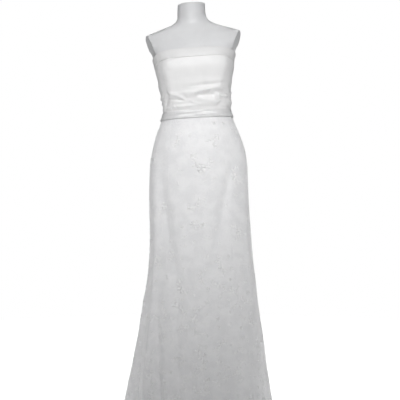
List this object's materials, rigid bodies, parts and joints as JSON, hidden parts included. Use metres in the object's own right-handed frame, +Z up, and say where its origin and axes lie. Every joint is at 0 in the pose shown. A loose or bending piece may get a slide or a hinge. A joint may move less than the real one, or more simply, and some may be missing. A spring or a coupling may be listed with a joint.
{
  "type": "strapless wedding dress on a limbless dress form with a stand",
  "caption": "Floor-length strapless wedding dress with a fitted bodice, satin waist ribbon and flared embroidered skirt, on a white limbless dress form on a round-based stand.",
  "frame": {"origin": "centre of the stand's round base, on the floor, under the middle of the dress", "axes": "+Z up, the dress's front faces -Y, the viewer's right is +X"},
  "size_m": [0.5496, 0.5497, 1.4869],
  "materials": {
    "bodice_satin": "soft white duchess satin",
    "embroidered_satin": "white satin with tone-on-tone embroidery",
    "ribbon_satin": "glossy white satin ribbon",
    "form_shell": "matte white",
    "stand_steel": "satin",
    "zip_nylon": "white enamel"
  },
  "bodies": {
    "dress_on_stand": {"neck_band_front": "bodice_satin", "neck_band_back_left": "bodice_satin", "neck_band_back_right": "bodice_satin", "bodice_centre_front": "bodice_satin", "bodice_side_front_left": "bodice_satin", "bodice_side_front_right": "bodice_satin", "bodice_side_back_left": "bodice_satin", "bodice_side_back_right": "bodice_satin", "bodice_centre_back_left": "bodice_satin", "bodice_centre_back_right": "bodice_satin", "waist_ribbon": "ribbon_satin", "skirt_centre_front": "embroidered_satin", "skirt_side_front_left": "embroidered_satin", "skirt_side_front_right": "embroidered_satin", "skirt_side_back_left": "embroidered_satin", "skirt_side_back_right": "embroidered_satin", "skirt_centre_back_left": "embroidered_satin", "skirt_centre_back_right": "embroidered_satin", "zip_slider": "zip_nylon", "form_torso": "form_shell", "stand_socket": "stand_steel", "stand_pole": "stand_steel", "stand_base": "stand_steel"},
    "zip_pull_tab": {"zip_pull": "zip_nylon"}
  },
  "joints": [
    {"name": "zip_pull_hinge", "type": "hinge", "parent": "dress_on_stand", "child": "zip_pull_tab", "pos_m": [-0.01428, 0.09739, 1.26208], "axis": [0.9968, 0.0098, 0.0794], "range_deg": [-10, 160]}
  ]
}
